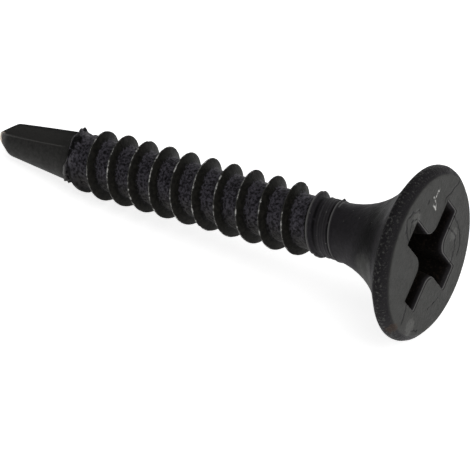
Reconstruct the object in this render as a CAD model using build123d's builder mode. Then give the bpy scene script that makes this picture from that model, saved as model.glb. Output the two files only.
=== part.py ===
from build123d import *
from math import atan2, ceil, cos, degrees, radians, sin, tan
import os

os.makedirs("parts", exist_ok=True)

# A self-drilling drywall screw, 3.5 mm by 25.4 mm: bugle head with a cross recess, one
# right-hand thread and a forged two-flute drill point, all in one piece of steel.
# It is built standing on its head: heights run from the flat face, at zero, to the
# chisel edge, and angles are turned from the side that faces up once it lies down.

# Overall sizes
length = 25.4
thread_diameter = 3.5
core_diameter = 2.54
shank_diameter = 2.74
head_diameter = 8.3

# Bugle head: rim turned over in two short bevels, side band, a short straight slope in
# to the flare diameter, and from there one hollow arc down to the shank
rim_bevel = 0.36
rim_bevel_turn = 0.11
band_height = 0.68
band_inset = 0.06
flare_diameter = 6.53
flare_height = 1.26
neck_end = 4.9

# Cross recess: four wings that narrow and close in downwards, over a pointed bottom
recess_span = 5.16
recess_wing = 1.2
recess_corner = 0.48
recess_floor_span = 2.7
recess_floor_wing = 0.8
recess_floor_corner = 0.25
recess_depth = 2.0
recess_tip = 0.4
recess_turn = 58.0

# Thread: where it starts, and how its crest rises out of the shank and fades to the point
pitch = 1.27
thread_start = 4.75
rise_step = 0.03
rise_length = 2.45
fade_length = 3.55
fade_drop = 0.75
fade_shoulder_diameter = 3.04
crest_width = 0.1
flank_angle = 28.0
root_sink = 0.12
crest_clearance = 0.1

# Drill point: a tapered body under a short cone, with two forged flutes of a right angle
point_length = 4.5
point_base_diameter = 2.52
point_shoulder_diameter = 1.74
point_angle = 66.0
chisel_length = 0.44
chisel_angle = 120.0
lip_offset = 0.2
heel_offset = 0.14
flute_angle = 98.0
flute_round = 0.12
flute_length = 4.8
flute_exit_radius = 1.3
point_turn = -49.6

# Radii, heights and the count of turns that follow from the sizes above
thread_radius = thread_diameter / 2
core_radius = core_diameter / 2
shank_radius = shank_diameter / 2
head_radius = head_diameter / 2
flare_radius = flare_diameter / 2
rise_radius = shank_radius + rise_step
fade_shoulder_radius = fade_shoulder_diameter / 2
point_base_radius = point_base_diameter / 2
point_shoulder_radius = point_shoulder_diameter / 2
point_slope = tan(radians(point_angle / 2))
point_apex = length + chisel_length / 2 / point_slope
shoulder_height = point_apex - point_shoulder_radius / point_slope
thread_end = length - point_length
turns = ceil((thread_end - thread_start) / pitch)

# How far the flanks reach down each side of the crest, and the ridge's width at its root
thread_depth = thread_radius - core_radius
ridge_half = crest_width / 2 + (thread_depth + root_sink) * tan(radians(flank_angle))


# One turn of the thread's ridge, swept along the helix
with BuildPart() as ridge:
    with BuildLine(Plane.XY.offset(thread_start)) as helix:
        Helix(pitch, pitch, core_radius)
    helix_start = helix.line @ 0
    with BuildSketch(Plane(helix_start, x_dir=(1, 0, 0), z_dir=helix.line % 0)):
        with BuildLine():
            Polyline(
                (-root_sink, -ridge_half),
                (thread_depth, -crest_width / 2),
                (thread_depth, crest_width / 2),
                (-root_sink, ridge_half),
                close=True,
            )
        make_face()
    sweep(path=helix.line, is_frenet=True)


# The envelope that the crest keeps to: it rises out of the shank and fades to the point
rod_start = thread_start - pitch
clear_radius = thread_radius + crest_clearance
rise_slope = (thread_radius - rise_radius) / rise_length
rise_end = thread_start + (clear_radius - rise_radius) / rise_slope
with BuildPart() as envelope:
    with BuildSketch(Plane.XZ):
        with BuildLine():
            Polyline(
                (0, rod_start),
                (core_radius, rod_start),
                (rise_radius, thread_start),
                (clear_radius, rise_end),
                (clear_radius, thread_end - fade_length),
                (fade_shoulder_radius, thread_end - fade_drop),
                (point_base_radius, thread_end),
                (0, thread_end),
                close=True,
            )
        make_face()
    revolve(axis=Axis.Z)


# The threaded stretch: the core with every turn of the ridge, cut back to the envelope
with BuildPart() as threaded_rod:
    with Locations((0, 0, rod_start - pitch)):
        Cylinder(
            core_radius,
            thread_end - rod_start + 2 * pitch,
            align=(Align.CENTER, Align.CENTER, Align.MIN),
        )
    for turn in range(turns):
        with Locations((0, 0, turn * pitch)):
            add(ridge.part)
    add(envelope.part, mode=Mode.INTERSECT)


# The drill point: a tapered body whose cone is cut to a short chisel edge
point_start = thread_end - core_radius
cutter_reach = core_radius + flute_exit_radius
roof_drop = cutter_reach / tan(radians(chisel_angle / 2))
chisel_turn = point_turn + degrees(atan2(lip_offset, heel_offset))
across_chisel = Vector(-sin(radians(chisel_turn)), cos(radians(chisel_turn)), 0)
along_chisel = across_chisel.cross(Vector(0, 0, 1))
with BuildPart() as drill_point:
    with BuildSketch(Plane.XZ):
        with BuildLine():
            Polyline(
                (0, point_start),
                (chisel_length, point_start),
                (point_base_radius, thread_end),
                (point_shoulder_radius, shoulder_height),
                (0, point_apex),
                close=True,
            )
        make_face()
    revolve(axis=Axis.Z)
    # The two flanks of the tip meet along the chisel edge, like a roof
    with BuildSketch(Plane((0, 0, length), x_dir=across_chisel, z_dir=along_chisel)):
        with BuildLine():
            Polyline(
                (0, 0),
                (cutter_reach, -roof_drop),
                (cutter_reach, point_start - length),
                (-cutter_reach, point_start - length),
                (-cutter_reach, -roof_drop),
                close=True,
            )
        make_face()
    extrude(amount=cutter_reach, both=True, mode=Mode.INTERSECT)


# One flute's cutter: the flat behind a cutting lip and the heel wall that faces it run
# side by side along the blade, and a round at their end lets them out through its side
lip_side = Vector(1, 0, 0).rotate(Axis.Z, point_turn)
flute_facing = Vector(1, 0, 0).rotate(Axis.Z, point_turn + flute_angle / 2)
heel_lean = (cutter_reach - lip_offset) / tan(radians(flute_angle))
valley_start = length + chisel_length
exit_end = (flute_exit_radius, -flute_length)
exit_start = (0, flute_exit_radius - flute_length)
with BuildPart() as flute:
    with BuildSketch(Plane((0, 0, valley_start), x_dir=lip_side, z_dir=(0, 0, 1))) as valley:
        with BuildLine():
            Polyline(
                (heel_offset, lip_offset),
                (cutter_reach, lip_offset),
                (cutter_reach, cutter_reach),
                (heel_offset + heel_lean, cutter_reach),
                close=True,
            )
        make_face()
        fillet(valley.vertices().sort_by_distance((0, 0, valley_start))[0], flute_round)
    extrude(amount=-flute_length - 2 * chisel_length)
    flute_side = flute_facing.cross(Vector(0, 0, 1))
    with BuildSketch(Plane((0, 0, length), x_dir=flute_facing, z_dir=flute_side)):
        with BuildLine():
            Polyline(
                exit_start,
                (0, 2 * chisel_length),
                (cutter_reach + flute_exit_radius, 2 * chisel_length),
                (cutter_reach + flute_exit_radius, -flute_length),
                exit_end,
            )
            RadiusArc(exit_end, exit_start, flute_exit_radius)
        make_face()
    extrude(amount=cutter_reach, both=True, mode=Mode.INTERSECT)


# The head and plain shank, turned about the axis; a cone inside the thread ends the shank
with BuildPart() as head:
    with BuildSketch(Plane.XZ):
        with BuildLine():
            Polyline(
                (shank_radius, neck_end),
                (shank_radius, thread_start + pitch),
                (core_radius - root_sink, thread_start + pitch + root_sink),
                (0, thread_start + pitch + root_sink),
                (0, 0),
                (head_radius - rim_bevel, 0),
                (head_radius - rim_bevel_turn, rim_bevel_turn),
                (head_radius, rim_bevel),
                (head_radius, band_height),
                (head_radius - band_inset, band_height),
                (flare_radius, flare_height),
            )
            TangentArc((shank_radius, neck_end), (flare_radius, flare_height), tangent=(0, -1))
        make_face()
    revolve(axis=Axis.Z)
    # The recess tapers from the face to its floor, then ends in a shallow point
    recess_x = (cos(radians(recess_turn)), sin(radians(recess_turn)), 0)
    with BuildSketch(Plane((0, 0, 0), x_dir=recess_x, z_dir=(0, 0, 1))) as mouth:
        Rectangle(recess_span, recess_wing)
        Rectangle(recess_wing, recess_span)
        fillet(mouth.vertices().sort_by_distance((0, 0, 0))[0:4], recess_corner)
    with BuildSketch(Plane((0, 0, recess_depth), x_dir=recess_x, z_dir=(0, 0, 1))) as floor:
        Rectangle(recess_floor_span, recess_floor_wing)
        Rectangle(recess_floor_wing, recess_floor_span)
        fillet(floor.vertices().sort_by_distance((0, 0, recess_depth))[0:4], recess_floor_corner)
    loft(mode=Mode.SUBTRACT)
    with Locations((0, 0, recess_depth)):
        Cone(
            recess_floor_wing / 2,
            0,
            recess_tip,
            align=(Align.CENTER, Align.CENTER, Align.MIN),
            mode=Mode.SUBTRACT,
        )


# The whole screw, still standing on its head
with BuildPart() as upright:
    add(head.part)
    add(threaded_rod.part)
    add(drill_point.part)
    add(flute.part, mode=Mode.SUBTRACT)
    add(flute.part, rotation=(0, 0, 180), mode=Mode.SUBTRACT)


# Laid down as it comes to rest, on the rim of the head and the shoulder of the point,
# with its middle over the origin and the surface that it lies on at height zero
lean = atan2(head_radius - point_shoulder_radius, shoulder_height - band_height)
down_axis = (-cos(lean), 0, -sin(lean))
up_side = (-sin(lean), 0, cos(lean))
box = upright.part.moved(Plane((0, 0, 0), x_dir=up_side, z_dir=down_axis).location).bounding_box()
rest_point = (-box.center().X, -box.center().Y, -box.min.Z)
with BuildPart(Plane(rest_point, x_dir=up_side, z_dir=down_axis)) as screw:
    add(upright.part)

screw.part.label = "screw"
export_step(screw.part, "parts/screw.step")
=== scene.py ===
import math
import bmesh
import bpy
from mathutils import Matrix, Vector, noise


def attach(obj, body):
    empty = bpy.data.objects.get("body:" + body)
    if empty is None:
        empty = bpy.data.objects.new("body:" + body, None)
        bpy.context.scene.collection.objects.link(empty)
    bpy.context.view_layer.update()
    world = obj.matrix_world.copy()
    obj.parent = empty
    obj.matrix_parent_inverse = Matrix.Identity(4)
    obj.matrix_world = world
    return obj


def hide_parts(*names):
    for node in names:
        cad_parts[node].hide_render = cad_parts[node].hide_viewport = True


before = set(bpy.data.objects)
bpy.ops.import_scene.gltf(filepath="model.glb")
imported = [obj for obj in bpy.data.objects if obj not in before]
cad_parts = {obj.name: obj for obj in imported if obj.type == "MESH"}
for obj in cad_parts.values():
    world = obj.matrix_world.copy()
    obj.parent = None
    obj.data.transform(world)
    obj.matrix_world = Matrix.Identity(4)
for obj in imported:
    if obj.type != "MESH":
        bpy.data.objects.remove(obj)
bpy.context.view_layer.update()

fullTurn = 2 * math.pi


def smoothStep(x, low, high):
    t = min(1.0, max(0.0, (x - low) / (high - low)))
    return t * t * (3 - 2 * t)


# 1 between the two inner limits, easing to 0 at the outer ones
def window(x, start, full, fading, end):
    return smoothStep(x, start, full) * (1 - smoothStep(x, fading, end))


def mound(away, width):
    return math.exp(-((away / width) ** 2))


def softMin(a, b, k):
    t = max(k - abs(a - b), 0) / k
    return min(a, b) - t * t * k / 4


def softMax(a, b, k):
    return -softMin(-a, -b, k)


# The screw, in millimetres. It is turned standing on its head, heights running from the
# flat face to the chisel edge, and laid down on its rim and point at the end.
screw = {
    "facePoint": (12.3357, 0.0, 4.2524),  # middle of the head face once it lies down
    "lean": 7.8732,  # degrees that the axis dips towards the point
    "tableHeight": 0.000002,  # metres; a burr below it is pressed flat
    "segments": 112,
    "sharpAngle": 38,  # degrees between two faces from which their edge is shaded sharp
    "faceRadius": 3.76,
    # outline of the rim and side band: radius, height and extra rings before the next point
    "rim": (
        (3.79, 0.01, 0), (3.815, 0.04, 1), (3.96, 0.15, 1), (4.08, 0.27, 1), (4.145, 0.43, 1),
        (4.14, 0.57, 0), (4.11, 0.65, 0), (4.06, 0.7, 0), (3.98, 0.755, 4),
    ),
    "rimEnd": 0.12,  # height by which the finish of the face has given way to the rim's
    "bandEnd": (0.7, 0.8),
    "neckEnd": 4.9,
    "neckArc": 4.447,
    "neckArcTurn": 55,  # degrees of the arc
    "neckParts": 9,  # straight parts that it is drawn in
    # rings of the shaft, close together along the thread, drawn the same way as the rim
    "shaft": (
        (1.4, 4.4, 471), (1.27, 20.95, 24), (1.15, 21.95, 17), (0.89, 24.2, 8), (0.8, 24.5, 9),
        (0.22, 25.385, 0), (0, 25.4, 0),
    ),
    "shankRadius": 1.37,
    "coreRadius": 1.27,
    "shankFade": (5.75, 6.25),
    "taperStart": (20.75, 1.265),
    "shoulder": (24.4, 0.87),
    "shoulderSoftness": 0.07,
    "coneSlope": 0.6494,
}

recess = {
    "turn": 58,
    "span": 5.16,
    "wing": 1.2,
    "corner": 0.6,
    "floorSpan": 2.7,
    "floorWing": 0.8,
    "floorCorner": 0.25,
    "wingEndRound": 0.09,
    "depth": 2.0,
    "tip": 0.4,
    "tipEase": 0.7,
    "pitRadius": 1.0,  # round pit that the cross is spread from
    # shares of its radius where the floor ends and the wall starts, and the step between them
    "pitFoot": (0.5, 0.56, 0.06),
    "tipRings": 2,  # extra rings in the point of the floor, the wall and the face
    "wallRings": 10,
    "faceRings": 24,
    "insideShadeFrom": (-0.02, 0.3),  # heights over which the painted shade inside sets in
    "mouthBevel": 0.07,
    "lipDepth": 0.3,  # how deep the mouth's outer ring lies, as a share of the bevel
    "lipStep": 0.02,  # how far the mouth's outer ring and the first ring of the face stand off
    "faceStep": 0.07,
    "faceGrow": 0.13,
    "faceEase": 1.25,
    "lipRise": 0.025,  # metal pushed up round the mouth by the punch, and how far it reaches
    "lipReach": 0.22,
    # segments from the corner between two wings to the middle of a wing's end
    "cornerSegments": 4,
    "sideSegments": 5,
    "roundSegments": 2,
    "endSegments": 3,
}

thread = {
    "radius": 1.75,
    "pitch": 1.27,
    "start": 4.75,
    "end": 20.35,
    "startEase": 0.2,  # heights over which the ridge comes and goes
    "endEase": 0.4,
    "crestLine": (
        (4.75, 1.38), (5.4, 1.48), (5.85, 1.6), (6.2, 1.62), (7.2, 1.75), (18.2, 1.75),
        (19.5, 1.62), (19.85, 1.45), (20.35, 1.34),
    ),
    "slimUpTo": 10,  # a low crest is a slim ridge before this height and a cut-down one after it
    "crestHalf": 0.03,
    "flankSlope": 2.1,
    "crestSoftness": 0.045,
    "rootSoftness": 0.05,
    "waver": (1.3, 0.014),  # how finely and how far the rolled crest wanders in and out
    "nicks": (4, 2.6, 0.42, 0.16),  # how fine they are round and along it, how rare, how deep
    "finishFrom": (5.95, 6.15),  # where the mottled finish takes over from the shank's
}

# What the rolling dies left beside the thread
dies = {
    "seam": 170,  # degrees, where their marks fade out on the far side
    "seamEase": 0.15,  # share of a turn
    # fine rings before the first full crest: height and how far they stand out
    "rings": ((4.86, 0.06), (5.05, 0.03), (5.19, 0.04), (5.32, 0.02), (5.46, 0.045)),
    "ringWidth": 0.045,
    "ringsUpTo": 6,
    # burrs at both ends of the rolling: turn in degrees, height, width and how far they stand out
    "burrs": (
        (40.4, 20.34, 0.14, 0.27), (40.4, 5.02, 0.13, 0.08), (222, 20.5, 0.14, 0.08),
        (200, 20.42, 0.1, 0.07),
    ),
    "lumpsFrom": (19.3, 20.0),  # the last, half-formed turn is lumpy
    "lumpGrain": (3.4, 2.8),  # how fine the lumps are round and along the screw
    "lumpRise": 0.26,
    "lumpLift": 0.05,
    "lumpBlur": 0.6,  # how much of the crest's own finish they take away
    "flash": 20.05,  # height of the ragged ring that ends the rolled stretch
    "flashSway": 0.4,
    "flashTurn": -49.6,  # degrees, where it comes nearest to the head
    "flashWander": (3, 7, 0.1),  # how fine, which slice of the noise, and how far
    "flashRise": 0.09,
    "flashWidth": 0.055,
    "flashRagged": (5, 1.4),
    "flashFoot": 0.12,
    "marksEnd": 21.05,  # height past which the point is smooth
}

# Painted light on the edges and marks: above 0 a painted highlight, below 0 painted shade like that
# in a groove
paintedGlintsAndShade = {
    "firstRing": (1.5, 0.03),  # strength and width
    "firstRingShows": (0.1, 0.3, 0.55, 0.7),  # where it comes and goes, in turns from the seam
    "firstRingShadow": (0.6, 0.1, 0.04),  # strength, how far behind the ring, and width
    "firstRingShadowEnd": (0.6, 0.8),
    "rings": (6, 0.03),
    "lowCrest": (0.9, 0.97),
    "lowCrestEnd": (6.0, 6.3),
    "lastGrooveShade": (0.45, 5.72, 0.1),  # strength, height and width
    "lumps": 0.8,
    "lumpTops": (0.1, 0.45),
    "lumpFeet": (0.1, 0.4),
    "lumpsEnd": 0.1,
    "flash": (0.9, 0.05),
    "flashShadow": (0.9, 0.16, 0.06),
    "mouth": 1.4,
    "cuttingLip": 0.7,
    "cuttingLipFrom": (20.3, 20.8),
}

flute = {
    "turn": -49.6,
    "twist": (-4.7, 7.0),  # degrees, at the shoulder and where the flute runs out
    "twistShares": (-0.3, 1.0),  # it goes on a little past the shoulder and ends at the exit
    "lipOffset": 0.2,
    "heelOffset": 0.14,
    "angle": 98,
    "softness": 0.07,
    "exitRadius": 1.3,
    "exitHeight": 20.45,
    "grazing": 0.05,  # the run-out cuts only what faces it by more than this
    "outside": 9.0,  # radius that stands for no cut
    "segments": 26,
    "lipSegments": 12,
    "lineUp": (19.3, 20.4),  # the mesh lines turn here to follow the flute's edges
    "finishFrom": (-0.03, 0.1),  # how far past the flash the point's finish starts and is full
    "hollow": (0.01, 0.15),  # depths at which the painted light in the flute starts and is full
    "chiselTurn": 5.4,
    "roofSlope": 1.732,
    "roofFrom": 23.8,
    "roofSoftness": 0.02,
}


# Outline of the screw from the bottom of the recess to the chisel edge: radius, height
# and how many extra rings the stretch that follows gets
def drawOutline(bm, s, r):
    pit, bevel = r["pitRadius"], r["mouthBevel"]
    floorEnd, wallStart, foot = r["pitFoot"]
    points = [
        (0, r["depth"] + r["tip"], r["tipRings"]),
        (floorEnd * pit, r["depth"], 0),
        (wallStart * pit, r["depth"] - foot, r["wallRings"]),
        (pit, bevel, 0),
        (pit + r["lipStep"], r["lipDepth"] * bevel, 0),
        (pit + r["faceStep"], 0, r["faceRings"]),
        (s["faceRadius"], 0, 0),
        *s["rim"],
    ]
    parts = s["neckParts"]
    for i in range(parts - 1):
        a = math.radians(s["neckArcTurn"] * (1 - i / parts))
        radius = s["shankRadius"] + s["neckArc"] * (1 - math.cos(a))
        points.append((radius, s["neckEnd"] - s["neckArc"] * math.sin(a), 1))
    points += s["shaft"]
    for (r0, h0, extra), (r1, h1, _) in zip(points, points[1:]):
        edge = bm.edges.new((bm.verts.new((r0, 0, h0)), bm.verts.new((r1, 0, h1))))
        if extra:
            bmesh.ops.subdivide_edges(bm, edges=[edge], cuts=extra)
    bmesh.ops.remove_doubles(bm, verts=bm.verts, dist=1e-5)


def bodyRadius(height, s):
    shank, core = s["shankRadius"], s["coreRadius"]
    if height < s["neckEnd"]:
        return shank + s["neckArc"] - math.sqrt(s["neckArc"] ** 2 - (s["neckEnd"] - height) ** 2)
    plain = shank + (core - shank) * smoothStep(height, *s["shankFade"])
    (startHeight, startRadius), (endHeight, endRadius) = s["taperStart"], s["shoulder"]
    share = (height - startHeight) / (endHeight - startHeight)
    taper = startRadius + (endRadius - startRadius) * share
    cone = endRadius - (height - endHeight) * s["coneSlope"]
    return min(plain, softMin(taper, cone, s["shoulderSoftness"]))


def crestAt(height, t):
    line = t["crestLine"]
    for (h0, r0), (h1, r1) in zip(line, line[1:]):
        if height <= h1:
            return r0 + (r1 - r0) * (height - h0) / (h1 - h0)
    return line[-1][1]


# Share of a turn from the seam, and the height less what the thread has climbed since
# half a turn past it, so that a mark at one such height runs along with the thread
def alongThread(angle, height, t, d):
    around = (angle / fullTurn - d["seam"] / 360) % 1
    return around, height - t["pitch"] * (around - 0.5)


def lumpAt(angle, height, d):
    fine, long = d["lumpGrain"]
    return noise.noise(Vector((math.cos(angle) * fine, math.sin(angle) * fine, height * long)))


def flashHeight(angle, d):
    fine, cut, far = d["flashWander"]
    wander = far * noise.noise(Vector((math.cos(angle) * fine, math.sin(angle) * fine, cut)))
    sway = d["flashSway"] * math.sin(angle - math.radians(d["flashTurn"])) ** 2
    return d["flash"] + wander + sway


# How far the dies' marks stand out: the fine rings, the burrs, the lumps and the flash
def dieMarks(angle, height, s, t, d):
    rise = 0.0
    around, wound = alongThread(angle, height, t, d)
    if wound < d["ringsUpTo"]:
        ease = d["seamEase"]
        shows = window(around, 0, ease, 1 - ease, 1)
        rise += shows * sum(high * mound(wound - at, d["ringWidth"]) for at, high in d["rings"])
    for turned, at, width, high in d["burrs"]:
        aside = ((angle - math.radians(turned) + math.pi) % fullTurn - math.pi) * s["coreRadius"]
        rise += high * mound(math.hypot(aside, height - at), width)
    end = flashHeight(angle, d)
    lumpy = window(height, *d["lumpsFrom"], end, end + d["flashFoot"])
    rise += lumpy * d["lumpRise"] * (lumpAt(angle, height, d) + d["lumpLift"])
    fine, strength = d["flashRagged"]
    ragged = noise.noise(Vector((math.cos(angle) * fine, math.sin(angle) * fine, 0)))
    return rise + d["flashRise"] * (1 + strength * ragged) * mound(height - end, d["flashWidth"])


# Radius with the thread's ridge on it, then how near the crest is, from 1 on it to 0
# midway between two crests, and how much of a thread there is at all
def threadedRadius(body, angle, height, s, t, d):
    turn = (height - t["start"]) / t["pitch"] - angle / fullTurn
    nearest = round(turn)
    along = t["start"] + t["pitch"] * (nearest + angle / fullTurn)
    strength = smoothStep(alongThread(angle, height, t, d)[1], *t["finishFrom"])
    body += dieMarks(angle, height, s, t, d)
    if along < t["start"] or along > t["end"]:
        return body, 0.0, strength
    off = abs(turn - nearest) * t["pitch"]
    x, y = math.cos(angle), math.sin(angle)
    fine, far = t["waver"]
    waver = far * noise.noise(Vector((x, y, along)) * fine)
    fineRound, fineAlong, rare, deep = t["nicks"]
    spot = Vector((x * fineRound, y * fineRound, along * fineAlong))
    nick = deep * max(0, noise.noise(spot) - rare)
    top = crestAt(along, t) - s["coreRadius"] + waver - nick
    peak = top if along < t["slimUpTo"] else t["radius"] - s["coreRadius"]
    ridge = softMin(top, peak + (t["crestHalf"] - off) * t["flankSlope"], t["crestSoftness"])
    ridge *= smoothStep(along, t["start"], t["start"] + t["startEase"])
    fading = smoothStep(along, t["end"] - t["endEase"], t["end"])
    ridge = ridge * (1 - fading) - t["rootSoftness"] * fading
    near = (1 - 2 * off / t["pitch"]) * (1 - d["lumpBlur"] * smoothStep(along, *d["lumpsFrom"]))
    if ridge <= -t["rootSoftness"]:
        return body, near, strength
    return softMax(body, s["coreRadius"] + ridge, t["rootSoftness"]), near, strength


# Where segment k of a ring lies on the cross-shaped outline of the recess
def crossPoint(k, span, wing, corner, r):
    side = r["cornerSegments"]
    turned = side + r["sideSegments"]
    end = turned + r["roundSegments"]
    middle = end + r["endSegments"]
    quarter, j = divmod(k, 2 * middle)
    flip = j > middle
    j = 2 * middle - j if flip else j
    half, reach, small = wing / 2, span / 2, r["wingEndRound"]
    inner = half + corner
    if j <= side:
        a = math.radians(135 - 45 * j / side)
        x, y = inner + corner * math.cos(a), corner * math.sin(a) - inner
    elif j <= turned:
        x, y = inner + (reach - small - inner) * (j - side) / (turned - side), -half
    elif j <= end:
        a = math.radians(-90 + 90 * (j - turned) / (end - turned))
        x, y = reach - small + small * math.cos(a), small - half + small * math.sin(a)
    else:
        x, y = reach, (small - half) * (middle - j) / (middle - end)
    y = -y if flip else y
    for _ in range(quarter):
        x, y = -y, x
    return Vector((x, y))


# The rings of the round pit, and those of the face round it, spread to the cross
def spreadRecess(radius, height, k, s, r):
    first = round((r["turn"] - 45) / 360 * s["segments"])  # segment at a corner between wings
    step = (k - first) % s["segments"]
    turned = Matrix.Rotation(math.radians(r["turn"]), 2)
    pit, bevel = r["pitRadius"], r["mouthBevel"]
    if inPit(radius, height, r):
        grow = 2 * r["lipStep"] if radius > pit + r["lipStep"] / 2 else 0.0
        mouth = crossPoint(step, r["span"] + grow, r["wing"] + grow, r["corner"], r)
        bottom = crossPoint(step, r["floorSpan"], r["floorWing"], r["floorCorner"], r)
        if height > r["depth"] + 1e-6:
            flat = bottom * (1 - (height - r["depth"]) / r["tip"]) ** r["tipEase"]
        else:
            share = min(1.0, max(0.0, (height - bevel) / (r["depth"] - bevel)))
            flat = mouth.lerp(bottom, share)
        return turned @ flat, height
    start = pit + r["faceStep"]
    share = min(1.0, max(0.0, (radius - start) / (s["faceRadius"] - start)))
    grow = r["faceGrow"]
    mouth = turned @ crossPoint(step, r["span"] + grow, r["wing"] + grow, r["corner"], r)
    a = fullTurn * k / s["segments"]
    circle = Vector((math.cos(a), math.sin(a))) * s["faceRadius"]
    flat = mouth.lerp(circle, share ** r["faceEase"])
    lip = r["lipRise"] * math.exp(-(flat - mouth).length / r["lipReach"]) * (1 - share)
    return flat, -lip


def inPit(radius, height, r):
    return 1e-6 < height < r["depth"] + r["tip"] and radius < r["pitRadius"] + 2 * r["lipStep"]


# Radius of the two-fluted point at one angle, where the round body would have bodyR
def flutedRadius(bodyR, angle, height, f, s):
    if height > f["roofFrom"]:
        across = abs(math.sin(angle - math.radians(f["chiselTurn"])))
        length = s["shaft"][-1][1]
        roof = (length - height) * f["roofSlope"] / max(across, 1e-4)
        bodyR = softMin(bodyR, roof, f["roofSoftness"])
    if height <= f["exitHeight"]:
        return bodyR
    lip = math.radians(f["turn"] + fluteTwist(height, f, s))
    wall = math.radians(f["angle"])
    local = (angle - lip) % math.pi
    x, y = math.cos(local), math.sin(local)
    toLip = f["lipOffset"] / max(y, 1e-4)
    reach = math.sin(wall) * f["heelOffset"] - math.cos(wall) * f["lipOffset"]
    facing = math.sin(wall) * x - math.cos(wall) * y
    toHeel = reach / facing if facing > 1e-4 else f["outside"]
    floor = softMax(toLip, toHeel, f["softness"])
    drop = f["exitHeight"] + f["exitRadius"] - height
    if drop > 0:
        rise = f["exitRadius"] - math.sqrt(f["exitRadius"] ** 2 - drop**2)
        facing = math.cos(local - wall / 2)
        floor = max(floor, rise / facing if facing > f["grazing"] else f["outside"])
    return min(bodyR, floor)


def fluteTwist(height, f, s):
    top = s["shoulder"][0]
    share = (top - height) / (top - f["exitHeight"])
    atShoulder, atExit = f["twist"]
    least, most = f["twistShares"]
    return atShoulder + (atExit - atShoulder) * min(most, max(least, share))


# The angle that segment k gets near the point, so that mesh lines run along both lips
def fluteAngle(k, bodyR, height, f, s):
    half = s["segments"] // 2
    side, j = divmod(k + f["segments"] // 2, half)
    lipEdge = math.asin(min(0.98, f["lipOffset"] / bodyR))
    wall = math.radians(f["angle"])
    reach = math.sin(wall) * f["heelOffset"] - math.cos(wall) * f["lipOffset"]
    heelEdge = wall + math.asin(max(-0.98, min(0.98, -reach / bodyR)))
    valley = math.atan2(f["lipOffset"], f["heelOffset"])
    lipEnd, heelEnd = f["lipSegments"], f["segments"]
    if j <= lipEnd:
        x0, x1 = bodyR * math.cos(lipEdge), f["heelOffset"]
        angle = math.atan2(f["lipOffset"], x0 + (x1 - x0) * j / lipEnd)
    elif j <= heelEnd:
        angle = valley + (heelEdge - valley) * (j - lipEnd) / (heelEnd - lipEnd)
    else:
        angle = heelEdge + (math.pi + lipEdge - heelEdge) * (j - heelEnd) / (half - heelEnd)
    return angle + side * math.pi + math.radians(f["turn"] + fluteTwist(height, f, s))


# Painted highlights on the rings, low crests, lump tops and flash, and painted shade behind the
# first ring and the flash, at the lump feet and past the last ring
def paintedGlintAndShadeAt(angle, height, crest, t, d, g):
    around, wound = alongThread(angle, height, t, d)
    end = flashHeight(angle, d)
    first = d["rings"][0][0]
    strong, width = g["firstRing"]
    light = strong * mound(wound - first, width) * window(around, *g["firstRingShows"])
    light += smoothStep(crest, *g["lowCrest"]) * (1 - smoothStep(wound, *g["lowCrestEnd"]))
    strong, width = g["rings"]
    light += sum(strong * high * mound(wound - at, width) for at, high in d["rings"][1:])
    lump = lumpAt(angle, height, d)
    lump = smoothStep(lump, *g["lumpTops"]) - smoothStep(-lump, *g["lumpFeet"])
    light += g["lumps"] * lump * window(height, *d["lumpsFrom"], end, end + g["lumpsEnd"])
    strong, width = g["flash"]
    light += strong * mound(height - end, width)
    strong, behind, width = g["flashShadow"]
    light -= strong * mound(height - end + behind, width)
    strong, behind, width = g["firstRingShadow"]
    ringShadow = strong * mound(wound - first - behind, width)
    light -= ringShadow * (1 - smoothStep(around, *g["firstRingShadowEnd"]))
    strong, at, width = g["lastGrooveShade"]
    return light - strong * mound(wound - at, width)


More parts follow.
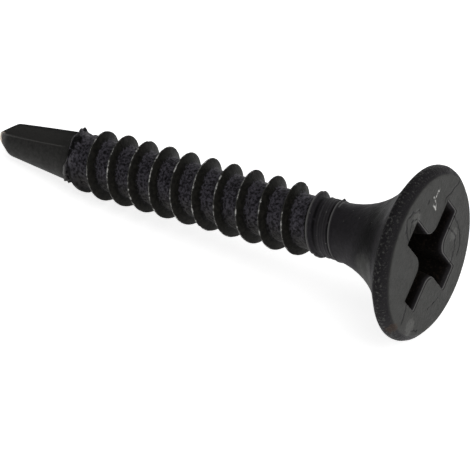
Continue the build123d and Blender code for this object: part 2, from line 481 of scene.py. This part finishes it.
# Moves every vertex of the turned blank to its place, and keeps in layers which part of the screw
# it belongs to and where highlights, shade and light are painted, for the finish
def shapeScrew(bm, s, r, t, d, g, f):
    names = ("crest", "thread", "face", "band", "recess", "point", "edge", "hollow")
    layers = [bm.verts.layers.float.new(name) for name in names]
    crest, wound, face, band, pit, point, edge, hollow = layers
    half, shaftStart = s["segments"] // 2, s["shaft"][0][1] - 0.01
    for v in bm.verts:
        radius, height = math.hypot(v.co.x, v.co.y), v.co.z
        if radius < 1e-6:
            v[pit if height < shaftStart else point] = 1.0
            continue
        angle = math.atan2(v.co.y, v.co.x) % fullTurn
        k = round(angle / fullTurn * s["segments"]) % s["segments"]
        angle = fullTurn * k / s["segments"]
        onFace = height < 1e-6 and radius < s["faceRadius"] + 1e-4
        if onFace or inPit(radius, height, r):
            flat, depth = spreadRecess(radius, height, k, s, r)
            v.co = (flat.x, flat.y, depth)
            v[face] = 1.0 if onFace else 0.0
            v[pit] = 0.0 if onFace else smoothStep(height, *r["insideShadeFrom"])
            onLip = not onFace and radius > r["pitRadius"] + r["lipStep"] / 2
            # painted highlight along the mouth of the recess
            v[edge] = g["mouth"] if onLip else 0.0
            continue
        if height < shaftStart:
            v[face] = 1 - smoothStep(height, 0.0, s["rimEnd"])
            v[band] = 1 - smoothStep(height, *s["bandEnd"])
            continue
        body = bodyRadius(height, s)
        follow = smoothStep(height, *f["lineUp"])
        if follow:
            wanted = fluteAngle(k, body, height, f, s)
            angle += follow * ((wanted - angle + math.pi) % fullTurn - math.pi)
        angle %= fullTurn
        if height < d["marksEnd"]:
            body, v[crest], v[wound] = threadedRadius(body, angle, height, s, t, d)
        near, full = f["finishFrom"]
        end = flashHeight(angle, d)
        v[point] = smoothStep(height, end + near, end + full)
        # painted highlights and painted shade along the thread's marks
        v[edge] = paintedGlintAndShadeAt(angle, height, v[crest], t, d, g)
        # painted highlight along both cutting lips of the point
        if (k + f["segments"] // 2) % half == 0:
            v[edge] = max(v[edge], g["cuttingLip"] * smoothStep(height, *g["cuttingLipFrom"]))
        whole, body = body, flutedRadius(body, angle, height, f, s)
        # painted light: the flute is lightened where it lies deep
        v[hollow] = smoothStep(whole - body, *f["hollow"]) * v[point]
        v.co = (body * math.cos(angle), body * math.sin(angle), height)


def uprightTurn(s):
    lean = math.radians(s["lean"])
    side = (-math.sin(lean), 0, math.cos(lean))
    down = (-math.cos(lean), 0, -math.sin(lean))
    return Matrix((side, (0, 1, 0), down))


def makeScrew(s, r, t, d, g, f):
    bm = bmesh.new()
    drawOutline(bm, s, r)
    bmesh.ops.spin(
        bm, geom=bm.verts[:] + bm.edges[:], cent=(0, 0, 0), axis=(0, 0, 1), angle=fullTurn,
        steps=s["segments"], use_merge=True,
    )
    poles = [v for v in bm.verts if math.hypot(v.co.x, v.co.y) < 1e-5]
    bmesh.ops.remove_doubles(bm, verts=poles, dist=1e-4)
    shapeScrew(bm, s, r, t, d, g, f)
    bmesh.ops.recalc_face_normals(bm, faces=bm.faces)
    laid = uprightTurn(s).transposed().to_4x4()
    place = Matrix.Scale(0.001, 4) @ Matrix.Translation(s["facePoint"]) @ laid
    bmesh.ops.transform(bm, matrix=place, verts=bm.verts)
    for v in bm.verts:
        v.co.z = max(v.co.z, s["tableHeight"])
    for edge in bm.edges:
        edge.smooth = edge.calc_face_angle(0) < math.radians(s["sharpAngle"])
    for face in bm.faces:
        face.smooth = True
    mesh = bpy.data.meshes.new("drywallScrew")
    bm.to_mesh(mesh)
    bm.free()
    piece = bpy.data.objects.new("drywallScrew", mesh)
    bpy.context.collection.objects.link(piece)
    return piece


body = makeScrew(screw, recess, thread, dies, paintedGlintsAndShade, flute)
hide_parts("screw")
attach(body, "root")
triangles = sum(len(p.vertices) - 2 for p in body.data.polygons)
print("screw:", len(body.data.vertices), "vertices,", triangles, "triangles")


# The finish. Its patterns are laid out in the upright screw's own millimetres: across the
# head face in X and Y, and along the axis in Z.
coating = {
    "dark": (0.0225, 0.0209, 0.0236, 1),
    "flank": (0.0078, 0.0074, 0.006, 1),
    "root": (0.052, 0.0487, 0.0585, 1),
    "rootUnderShade": (0.026, 0.025, 0.0222, 1),
    "point": (0.029, 0.0285, 0.0272, 1),
    "face": (0.0425, 0.0425, 0.0405, 1),
    # painted shade: the inside of the recess is nearly black
    "recess": (0.0016, 0.0011, 0.0008, 1),
    "bare": (0.52, 0.515, 0.5, 1),
    "chisel": (0.66, 0.58, 0.5, 1),
    "rust": (0.05, 0.03, 0.019, 1),
    # how much darker and lighter these colours get where their pattern is low and high
    "shades": {
        "dark": (0.85, 1.15), "flank": (0.45, 1.6), "root": (0.35, 1.7), "rootUnderShade": (0.5, 1.5),
        "point": (0.8, 1.25), "face": (0.8, 1.2), "recess": (1, 6),
    },
    # tones laid over them: of which colour, how much lighter or darker, and how strong
    "tones": {
        # Painted light among these tones: painted shade in the neck's curve, painted light in the
        # flutes, a painted highlight along the root fillets, painted shade at the feet of the
        # flanks, painted highlights on the crests and edges, painted shade beside the rings and
        # flash, and painted shade in the face's creases
        "paintedNeckShade": ("dark", 0.2, 1), "flarePatchTone": ("face", 1.3, 0.8), "dust": ("face", 2.2, 1),
        "flute": ("point", 1.7, 1), "filletHighlight": ("root", 1.4, 1), "holes": ("dark", 0.15, 1),
        "foot": ("flank", 0.1, 1), "paintedCrestHighlight": ("bare", 1, 0.85), "edgeShade": ("dark", 0.1, 1),
        "faceCloud": ("face", 0.9, 1), "thin": ("face", 1.9, 0.8), "specks": ("face", 0.6, 1),
        "rim": ("dark", 0.6, 1), "grit": ("face", 1.8, 1), "rimLine": ("dark", 0.5, 0.55),
        "crease": ("dark", 0.35, 0.85), "scratch": ("bare", 1, 1), "chisel": ("chisel", 1, 1),
        "rust": ("rust", 1, 0.5),
    },
    # cloudy patterns: scale, and the two limits of their contrast
    "clouds": {
        "broad": (1.4, 0.35, 0.65), "fine": (5.5, 0.3, 0.7), "patches": (7.5, 0.39, 0.61),
        "grit": (8.5, 0.5, 0.64), "wear": (2.4, 0.42, 0.62), "beads": (5.2, 0.42, 0.6),
    },
    # small pits: scale and how far each one reaches
    "pits": {"holes": (3.9, 0.42), "specks": (9.75, 0.3), "dust": (2.1, 0.085)},
    # limits on the way from the root at 0 to the crest at 1, and how ragged they are
    "ragged": 0.11,
    "flankFrom": (0.5, 0.66),
    "filletHighlightFrom": (0.4, 0.54),
    "footShadeEnd": (0.74, 0.6),
    "highlightFrom": (0.94, 0.99),
    # painted highlight along the crest: how much it is broken into beads, how far it spreads, and
    # its least
    "highlightBeads": 0.75,
    "highlightSpread": 0.03,
    "highlightLeast": 0.08,
    "glint": 0.22,
    "edgeShadeFrom": (-0.05, -0.6),
    "underShadeFrom": (0.75, -0.45),  # painted shade: the roots turn darker and browner on the underside
    "underShadeStrength": 0.85,
    "neckShade": ((1.1, 1.9), (3.3, 2.3)),  # heights between which the neck's curve gets painted shade
    # limits on the way from the face at 1 to the rim at 0
    "rimFrom": (0.5, 0.2),
    "rimLineFrom": (0.97, 0.7),
    "rimLineEnd": (0.1, 0.4),
    "gritFrom": (0.05, 0.45, 0.3, 1.0),  # heights, and how gritty the rim is at each
    "scratchBeads": (0.1, 0.6, 0.15, 1.0),
    "roughness": (0.5, 0.64),
    "recessRoughness": 0.95,
    "specular": 0.07,
    "highlightMetal": 0.15,
    # relief in metres, and how high each pattern stands in it, within which part
    "bumpHeight": 0.00004,
    "relief": (
        ("fine", None, 0.2), ("patches", "root", 0.5), ("holes", "root", -0.9),
        ("grit", "rim", 0.9), ("creases", None, -0.8), ("scratches", None, -0.5),
    ),
}

marks = {
    # bare scratches, and creases on the face darkened with painted shade: half width and the points
    # they run through
    "scratches": (
        (0.085, ((2.75, 0.88), (2.92, 1.03), (2.88, 1.21))),
        (0.09, ((2.76, 0.68), (2.43, 0.84), (2.13, 0.74), (2.44, 0.58))),
    ),
    "creases": (
        (0.12, ((2.93, -0.71), (3.19, -1.28), (3.13, -1.74), (2.53, -1.93), (2.1, -1.85))),
        (0.08, ((2.65, -0.95), (2.8, -1.4), (2.4, -1.6))),
        (0.1, ((2.0, 1.5), (2.13, 1.67), (2.3, 3.5))),
        (0.1, ((0.49, 1.76), (-0.33, 2.28), (-0.94, 2.09), (-1.56, 1.67))),
        (0.1, ((0.65, 2.3), (-0.3, 2.7), (-1.12, 2.6), (-1.5, 2.3))),
        (0.08, ((-2.65, 0.26), (-2.61, -0.62))),
        (0.11, ((-0.95, -2.3), (-1.36, -2.64), (-1.8, -2.95))),
        (0.09, ((-2.8, -2.2), (-3.1, -1.75))),
        (0.16, ((2.88, 0.12), (2.9, 0.14))),
    ),
    # spots: middle, radius and how ragged they are
    "bareChisel": ((0.02, -0.3, 25.3), 0.5, 0.1),
    "rustyRim": ((-1.75, -3.6, 0.05), 0.42, 0.42),
    "flarePatchSpot": ((-0.3, -2.5, 1.9), 1.5, 0.5),
    "thinCoating": (
        ((2.75, -0.95, 0.0), 0.4, 0.6),
        ((-0.2, 2.15, 0.0), 0.4, 0.6),
        ((-2.5, -2.3, 0.0), 0.5, 0.6),
    ),
}


def plug(tree, socket, value):
    if isinstance(value, bpy.types.NodeSocket):
        tree.links.new(value, socket)
    else:
        socket.default_value = value


def put(tree, kind, inputs=None, **settings):
    node = tree.nodes.new(kind)
    for key, value in settings.items():
        setattr(node, key, value)
    for key, value in (inputs or {}).items():
        plug(tree, node.inputs[key], value)
    return node


def calc(tree, operation, *values):
    inputs = dict(enumerate(values))
    return put(tree, "ShaderNodeMath", inputs, operation=operation).outputs[0]


def times(tree, first, second):
    return calc(tree, "MULTIPLY", first, second)


def vectorCalc(tree, operation, *values):
    inputs = dict(enumerate(values))
    node = put(tree, "ShaderNodeVectorMath", inputs, operation=operation)
    return node.outputs["Value" if operation in ("DISTANCE", "DOT_PRODUCT") else "Vector"]


def steps(tree, value, low, high, toLow=0.0, toHigh=1.0):
    inputs = dict(enumerate((value, low, high, toLow, toHigh)))
    return put(tree, "ShaderNodeMapRange", inputs, interpolation_type="SMOOTHSTEP").outputs[0]


def newGroup(name, inputs, output):
    tree = bpy.data.node_groups.new(name, "ShaderNodeTree")
    for label, kind in inputs.items():
        tree.interface.new_socket(label, in_out="INPUT", socket_type="NodeSocket" + kind)
    tree.interface.new_socket(output, in_out="OUTPUT", socket_type="NodeSocketFloat")
    given = tree.nodes.new("NodeGroupInput").outputs
    return tree, given, tree.nodes.new("NodeGroupOutput").inputs[0]


def useGroup(tree, group, **inputs):
    node = tree.nodes.new("ShaderNodeGroup")
    node.node_tree = group
    for key, value in inputs.items():
        plug(tree, node.inputs[key], value)
    return node.outputs[0]


# How the four patterns are drawn, apart from the values that each use of them gives
patterns = {
    "grain": {"Detail": 4, "Roughness": 0.62},
    "pitWarp": {"Detail": 2},
    "pitSway": 0.22,  # how far the warp moves a pit
    "pitDeepest": 0.05,  # a pit is deepest this near to its middle
    "spotEdge": {"Scale": 7, "Detail": 3},
    "spotFull": 0.6,  # share of its radius up to which a spot is whole
    "creaseWave": {"Scale": 2.5, "Detail": 2},
    "creaseSway": 0.3,  # how far the wave moves a crease
}


# Cloudy grain, 0 to 1, with its contrast set by the two limits
def makeGrain(p):
    inputs = {"Vector": "Vector", "Scale": "Float", "Low": "Float", "High": "Float"}
    tree, given, out = newGroup("grain", inputs, "Value")
    look = {"Vector": given["Vector"], "Scale": given["Scale"], **p["grain"]}
    cloud = put(tree, "ShaderNodeTexNoise", look)
    plug(tree, out, steps(tree, cloud.outputs[0], given["Low"], given["High"]))
    return tree


# Small ragged pits, 1 at their deepest
def makePits(p):
    inputs = {"Vector": "Vector", "Scale": "Float", "Reach": "Float"}
    tree, given, out = newGroup("pits", inputs, "Depth")
    look = {"Vector": given["Vector"], "Scale": given["Scale"], **p["pitWarp"]}
    warp = put(tree, "ShaderNodeTexNoise", look).outputs[1]
    sway = p["pitSway"]
    moved = vectorCalc(tree, "MULTIPLY_ADD", warp, (sway, sway, sway), given["Vector"])
    cells = put(tree, "ShaderNodeTexVoronoi", {"Vector": moved, "Scale": given["Scale"]})
    plug(tree, out, steps(tree, cells.outputs[0], given["Reach"], p["pitDeepest"]))
    return tree


# Round spot with a ragged edge
def makeSpot(p):
    inputs = {"Vector": "Vector", "Centre": "Vector", "Radius": "Float", "Ragged": "Float"}
    tree, given, out = newGroup("spot", inputs, "Mask")
    far = vectorCalc(tree, "DISTANCE", given["Vector"], given["Centre"])
    look = {"Vector": given["Vector"], **p["spotEdge"]}
    wavy = calc(tree, "SUBTRACT", put(tree, "ShaderNodeTexNoise", look).outputs[0], 0.5)
    reach = calc(tree, "MULTIPLY_ADD", wavy, given["Ragged"], far)
    share = calc(tree, "DIVIDE", reach, given["Radius"])
    plug(tree, out, steps(tree, share, 1.0, p["spotFull"]))
    return tree


# Narrow, slightly wavy line between two points
def makeCrease(p):
    inputs = {"Vector": "Vector", "Start": "Vector", "End": "Vector", "Width": "Float"}
    tree, given, out = newGroup("crease", inputs, "Mask")
    run = vectorCalc(tree, "SUBTRACT", given["End"], given["Start"])
    here = vectorCalc(tree, "SUBTRACT", given["Vector"], given["Start"])
    dot = vectorCalc(tree, "DOT_PRODUCT", here, run)
    size = vectorCalc(tree, "DOT_PRODUCT", run, run)
    share = put(tree, "ShaderNodeMath", {0: dot, 1: size}, operation="DIVIDE", use_clamp=True)
    near = vectorCalc(tree, "MULTIPLY_ADD", run, share.outputs[0], given["Start"])
    look = {"Vector": given["Vector"], **p["creaseWave"]}
    wave = put(tree, "ShaderNodeTexNoise", look).outputs[1]
    sway = p["creaseSway"]
    bent = vectorCalc(tree, "MULTIPLY_ADD", wave, (sway, sway, 0.0), given["Vector"])
    moved = vectorCalc(tree, "SUBTRACT", bent, (sway / 2, sway / 2, 0.0))
    far = vectorCalc(tree, "DISTANCE", moved, near)
    plug(tree, out, steps(tree, calc(tree, "DIVIDE", far, given["Width"]), 1.0, 0.0))
    return tree


def blend(tree, amount, first, second):
    mix = put(tree, "ShaderNodeMix", data_type="RGBA")
    for slot, value in ((0, amount), (6, first), (7, second)):
        plug(tree, mix.inputs[slot], value)
    return mix.outputs[2]


def scaled(colour, factor):
    return (colour[0] * factor, colour[1] * factor, colour[2] * factor, 1)


# One of the coating's colours, darker and lighter with the amount
def shaded(tree, amount, name, c):
    low, high = c["shades"][name]
    return blend(tree, amount, scaled(c[name], low), scaled(c[name], high))


# The colour with one of the tones laid over it
def cover(tree, amount, colour, name, c):
    base, factor, strength = c["tones"][name]
    amount = amount if strength == 1 else times(tree, amount, strength)
    return blend(tree, amount, colour, scaled(c[base], factor))


def drawSpot(tree, group, here, spot):
    centre, radius, ragged = spot
    return useGroup(tree, group, Vector=here, Centre=centre, Radius=radius, Ragged=ragged)


def drawLines(tree, group, here, lines):
    total = None
    for width, points in lines:
        for start, end in zip(points, points[1:]):
            line = useGroup(tree, group, Vector=here, Start=(*start, 0), End=(*end, 0), Width=width)
            total = line if total is None else calc(tree, "MAXIMUM", total, line)
    return total


# Where each pattern and part of the screw is: its millimetres, clouds, pits and layers
def layPatterns(tree, c, s, grain, pits):
    turn = uprightTurn(s)
    coords = tree.nodes.new("ShaderNodeTexCoord")
    laid = {
        "Vector": coords.outputs["Object"],
        "Location": -(turn @ Vector(s["facePoint"])),
        "Rotation": turn.to_euler(),
        "Scale": (1000, 1000, 1000),
    }
    here = put(tree, "ShaderNodeMapping", laid, vector_type="POINT").outputs[0]
    at = {"here": here}
    for name, (scale, low, high) in c["clouds"].items():
        at[name] = useGroup(tree, grain, Vector=here, Scale=scale, Low=low, High=high)
    for name, (scale, reach) in c["pits"].items():
        at[name] = useGroup(tree, pits, Vector=here, Scale=scale, Reach=reach)
    for name in ("crest", "thread", "face", "band", "recess", "point", "edge", "hollow"):
        at[name] = put(tree, "ShaderNodeAttribute", attribute_name=name).outputs["Fac"]
    place = put(tree, "ShaderNodeSeparateXYZ", {"Vector": here})
    at["upper"], at["height"] = place.outputs["X"], place.outputs["Z"]
    return at


# The neck and shank, with painted shade in the curve of the neck, a lighter patch on the flare and
# dust on it, and the point with painted light in its flutes
def colourPlain(tree, c, m, at, spot):
    rises, falls = c["neckShade"]
    # painted shade: the neck is darkened between these heights
    paintedNeckShade = times(tree, steps(tree, at["height"], *rises), steps(tree, at["height"], *falls))
    colour = cover(tree, paintedNeckShade, shaded(tree, at["fine"], "dark", c), "paintedNeckShade", c)
    # a lighter patch over the lower flare
    flarePatch = drawSpot(tree, spot, at["here"], m["flarePatchSpot"])
    colour = cover(tree, flarePatch, colour, "flarePatchTone", c)
    colour = cover(tree, at["dust"], colour, "dust", c)
    # painted light: the flutes are lightened towards their depth
    point = cover(tree, at["hollow"], shaded(tree, at["fine"], "point", c), "flute", c)
    return blend(tree, at["point"], colour, point)


# The threaded stretch: mottled roots with a painted highlight along their fillets and painted shade
# underneath, dark flanks with painted shade at their feet, painted highlights along the crests and
# edges, and painted shade beside the marks
def colourThread(tree, c, at, colour):
    threaded = times(tree, at["thread"], calc(tree, "SUBTRACT", 1.0, at["point"]))
    wander = times(tree, calc(tree, "SUBTRACT", at["patches"], 0.5), c["ragged"])
    crest = calc(tree, "ADD", wander, at["crest"])
    onFlank = steps(tree, crest, *c["flankFrom"])
    at["root"] = times(tree, threaded, calc(tree, "SUBTRACT", 1.0, onFlank))
    root = shaded(tree, at["patches"], "root", c)
    # painted highlight: a lighter line where each root meets the flanks
    root = cover(tree, steps(tree, crest, *c["filletHighlightFrom"]), root, "filletHighlight", c)
    # painted shade on the roots' underside
    rootUnderShade = steps(tree, at["upper"], *c["underShadeFrom"], 0.0, c["underShadeStrength"])
    root = blend(tree, rootUnderShade, root, shaded(tree, at["patches"], "rootUnderShade", c))
    root = cover(tree, at["holes"], root, "holes", c)
    flank = shaded(tree, at["fine"], "flank", c)
    # painted shade: the flanks darken towards their feet at the roots
    flank = cover(tree, steps(tree, crest, *c["footShadeEnd"]), flank, "foot", c)
    colour = blend(tree, times(tree, threaded, onFlank), colour, flank)
    colour = blend(tree, at["root"], colour, root)
    # painted highlights: the crests, broken into beads, and the bright edges take the bare colour
    beaded = times(tree, at["beads"], c["highlightBeads"])
    wear = times(tree, at["wear"], calc(tree, "ADD", beaded, 1 - c["highlightBeads"]))
    nearCrest = calc(tree, "ADD", at["crest"], times(tree, wear, c["highlightSpread"]))
    paintedCrestHighlight = times(tree, steps(tree, nearCrest, *c["highlightFrom"]), threaded)
    paintedCrestHighlight = times(tree, paintedCrestHighlight, calc(tree, "ADD", wear, c["highlightLeast"]))
    at["paintedCrestHighlight"] = calc(tree, "MAXIMUM", paintedCrestHighlight, times(tree, at["edge"], c["glint"]))
    colour = cover(tree, at["paintedCrestHighlight"], colour, "paintedCrestHighlight", c)
    # painted shade where the edge layer is below 0
    return cover(tree, steps(tree, at["edge"], *c["edgeShadeFrom"]), colour, "edgeShade", c)


# The head: its face, the gritty rim, a darker line between the two, and the recess with painted
# shade inside
def colourHead(tree, c, m, at, spot, colour):
    cloud = calc(tree, "SUBTRACT", 1.0, at["broad"])
    face = cover(tree, cloud, shaded(tree, at["fine"], "face", c), "faceCloud", c)
    for thinSpot in m["thinCoating"]:
        face = cover(tree, drawSpot(tree, spot, at["here"], thinSpot), face, "thin", c)
    face = cover(tree, at["specks"], face, "specks", c)
    colour = blend(tree, at["face"], colour, face)
    at["rim"] = times(tree, steps(tree, at["face"], *c["rimFrom"]), at["band"])
    colour = cover(tree, at["rim"], colour, "rim", c)
    gritty = times(tree, at["rim"], steps(tree, at["height"], *c["gritFrom"]))
    colour = cover(tree, times(tree, gritty, at["grit"]), colour, "grit", c)
    # a darker line where the face meets the rim
    outer, inner = [steps(tree, at["face"], *c[name]) for name in ("rimLineEnd", "rimLineFrom")]
    colour = cover(tree, times(tree, outer, inner), colour, "rimLine", c)
    # painted shade fills the recess
    return blend(tree, at["recess"], colour, shaded(tree, at["grit"], "recess", c))


# Creases darkened with painted shade, scratches, the bare chisel edge and the rust
def colourMarks(tree, c, m, at, spot, crease, colour):
    at["creases"] = drawLines(tree, crease, at["here"], m["creases"])
    broken = steps(tree, at["beads"], *c["scratchBeads"])
    at["scratches"] = times(tree, drawLines(tree, crease, at["here"], m["scratches"]), broken)
    # painted shade in the face's creases, which are real folds
    colour = cover(tree, at["creases"], colour, "crease", c)
    colour = cover(tree, at["scratches"], colour, "scratch", c)
    for name, tone in (("bareChisel", "chisel"), ("rustyRim", "rust")):
        colour = cover(tree, drawSpot(tree, spot, at["here"], m[name]), colour, tone, c)
    return colour


# Height of the surface's own relief: raised grain and grit, sunken holes and lines
def layRelief(tree, c, at):
    height = 0.0
    for name, within, strength in c["relief"]:
        part = times(tree, at[name], strength)
        if within:
            part = times(tree, part, at[within])
        height = calc(tree, "ADD", height, part)
    return height


def makeCoating(c, m, p, s):
    mat = bpy.data.materials.new("phosphatedSteel")
    mat.use_nodes = True
    tree = mat.node_tree
    bsdf = tree.nodes["Principled BSDF"]
    spot, crease = makeSpot(p), makeCrease(p)
    at = layPatterns(tree, c, s, makeGrain(p), makePits(p))
    colour = colourPlain(tree, c, m, at, spot)
    colour = colourThread(tree, c, at, colour)
    colour = colourHead(tree, c, m, at, spot, colour)
    colour = colourMarks(tree, c, m, at, spot, crease, colour)
    plug(tree, bsdf.inputs["Base Color"], colour)

    smooth, rough = c["roughness"]
    ground = put(tree, "ShaderNodeMapRange", {0: at["broad"], 3: smooth, 4: rough}).outputs[0]
    inside = times(tree, at["recess"], c["recessRoughness"])
    plug(tree, bsdf.inputs["Roughness"], calc(tree, "MAXIMUM", ground, inside))
    # the painted crest highlights and the scratches are made slightly metallic
    metal = calc(tree, "MAXIMUM", at["scratches"], at["paintedCrestHighlight"])
    plug(tree, bsdf.inputs["Metallic"], times(tree, metal, c["highlightMetal"]))
    bsdf.inputs["Specular IOR Level"].default_value = c["specular"]

    relief = {"Height": layRelief(tree, c, at), "Strength": 1.0, "Distance": c["bumpHeight"]}
    plug(tree, bsdf.inputs["Normal"], put(tree, "ShaderNodeBump", relief).outputs[0])
    print("finish:", mat.name, "with", len(tree.nodes), "nodes")
    return mat


body.data.materials.append(makeCoating(coating, marks, patterns, screw))


# The floor, the lights and the camera
studio = {
    "floorSize": 2,
    "floorColour": (0.9, 0.9, 0.9, 1),
    "floorRoughness": 0.9,
    "floorGlow": 0.8,
    "worldStrength": 0.1,
    # soft boxes: where they stand, their size and power; all of them face the screw
    "boxes": (
        ("overhead", (0.18, 0.03, 0.33), 0.42, 0.75),
        ("rightSide", (0.32, -0.05, 0.14), 0.3, 0.33),
        ("behind", (-0.1, 0.32, 0.12), 0.35, 0.25),
        ("tipSide", (-0.34, 0.02, 0.1), 0.2, 0.08),
    ),
}

camera = {
    "azimuth": 33.2,
    "elevation": 39.6,
    "headCentre": (0.0123357, 0.0, 0.0042532),
    # how far the camera stands from there, along its own axes
    "right": -0.008918,
    "up": 0.000945,
    "back": 0.0911,
    "lens": 153.19,
    "sensor": 36.0,
    "clip": (0.005, 5.0),
}


def makeStudio(s):
    bpy.ops.mesh.primitive_plane_add(size=s["floorSize"])
    floor = bpy.context.object
    floor.name = "floor"
    mat = bpy.data.materials.new("paleFloor")
    mat.use_nodes = True
    bsdf = mat.node_tree.nodes["Principled BSDF"]
    bsdf.inputs["Base Color"].default_value = s["floorColour"]
    bsdf.inputs["Roughness"].default_value = s["floorRoughness"]
    bsdf.inputs["Emission Color"].default_value = (1, 1, 1, 1)
    bsdf.inputs["Emission Strength"].default_value = s["floorGlow"]
    floor.data.materials.append(mat)
    world = bpy.data.worlds.new("whiteRoom")
    bpy.context.scene.world = world
    world.use_nodes = True
    sky = world.node_tree.nodes["Background"]
    sky.inputs["Color"].default_value = (1, 1, 1, 1)
    sky.inputs["Strength"].default_value = s["worldStrength"]
    for name, place, size, power in s["boxes"]:
        data = bpy.data.lights.new(name, "AREA")
        data.size = size
        data.energy = power
        box = bpy.data.objects.new(name, data)
        bpy.context.collection.objects.link(box)
        box.location = place
        box.rotation_euler = (-Vector(place)).to_track_quat("-Z", "Y").to_euler()
    bpy.context.scene.view_settings.view_transform = "Standard"
    print("studio: floor and", len(s["boxes"]), "soft boxes")


def placeCamera(c):
    a, e = math.radians(c["azimuth"]), math.radians(c["elevation"])
    right = Vector((math.cos(a), math.sin(a), 0))
    up = Vector((-math.sin(a) * math.sin(e), math.cos(a) * math.sin(e), math.cos(e)))
    back = Vector((math.sin(a) * math.cos(e), -math.cos(a) * math.cos(e), math.sin(e)))
    data = bpy.data.cameras.new("camera")
    data.lens = c["lens"]
    data.sensor_width = c["sensor"]
    data.sensor_fit = "HORIZONTAL"
    data.clip_start, data.clip_end = c["clip"]
    eye = bpy.data.objects.new("camera", data)
    bpy.context.collection.objects.link(eye)
    eye.location = Vector(c["headCentre"]) + right * c["right"] + up * c["up"] + back * c["back"]
    eye.rotation_euler = (math.pi / 2 - e, 0, a)
    bpy.context.scene.camera = eye
    print("camera:", c["lens"], "mm lens,", round(c["back"] * 1000), "mm from the head")


makeStudio(studio)
placeCamera(camera)
